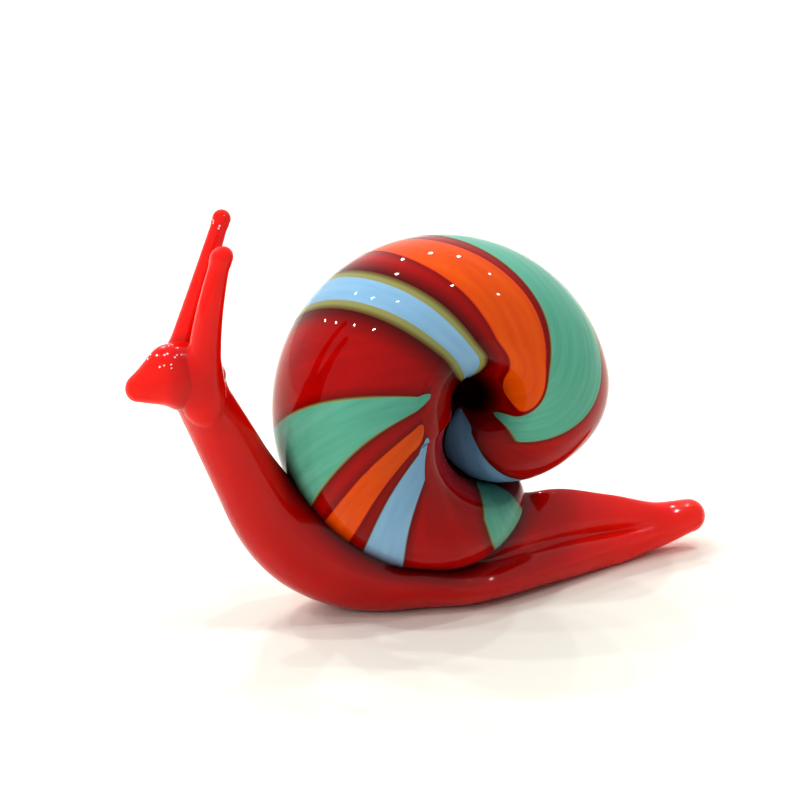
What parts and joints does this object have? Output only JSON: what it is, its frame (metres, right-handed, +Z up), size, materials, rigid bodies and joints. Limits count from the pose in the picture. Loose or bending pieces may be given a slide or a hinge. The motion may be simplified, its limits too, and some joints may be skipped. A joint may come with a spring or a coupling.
{
  "type": "snail figurine",
  "caption": "Small glass snail ornament with a red body, raised head and eye stalks, and a wound red shell inlaid with swirled sky-blue, mint and orange stripes, resting on its flat sole.",
  "frame": {"origin": "on the flat sole, below the centre of the shell", "axes": "+X from the head to the tail, +Y away from the open side of the shell, +Z up from the sole"},
  "size_m": [0.0785, 0.0298, 0.0528],
  "materials": {
    "red_glass": "fire-polished, glossy",
    "dark_red_glass": "fire-polished, glossy",
    "sky_blue_glass": "fire-polished, glossy",
    "mint_glass": "fire-polished, glossy",
    "orange_glass": "fire-polished, glossy"
  },
  "bodies": {
    "root": {"body": "red_glass", "head": "red_glass", "left_eye_stalk": "red_glass", "right_eye_stalk": "red_glass", "shell_core": "dark_red_glass", "sky_blue_stripe_1": "sky_blue_glass", "sky_blue_stripe_2": "sky_blue_glass", "sky_blue_stripe_3": "sky_blue_glass", "mint_stripe_1": "mint_glass", "mint_stripe_2": "mint_glass", "mint_stripe_3": "mint_glass", "orange_stripe_1": "orange_glass", "orange_stripe_2": "orange_glass"}
  },
  "joints": []
}
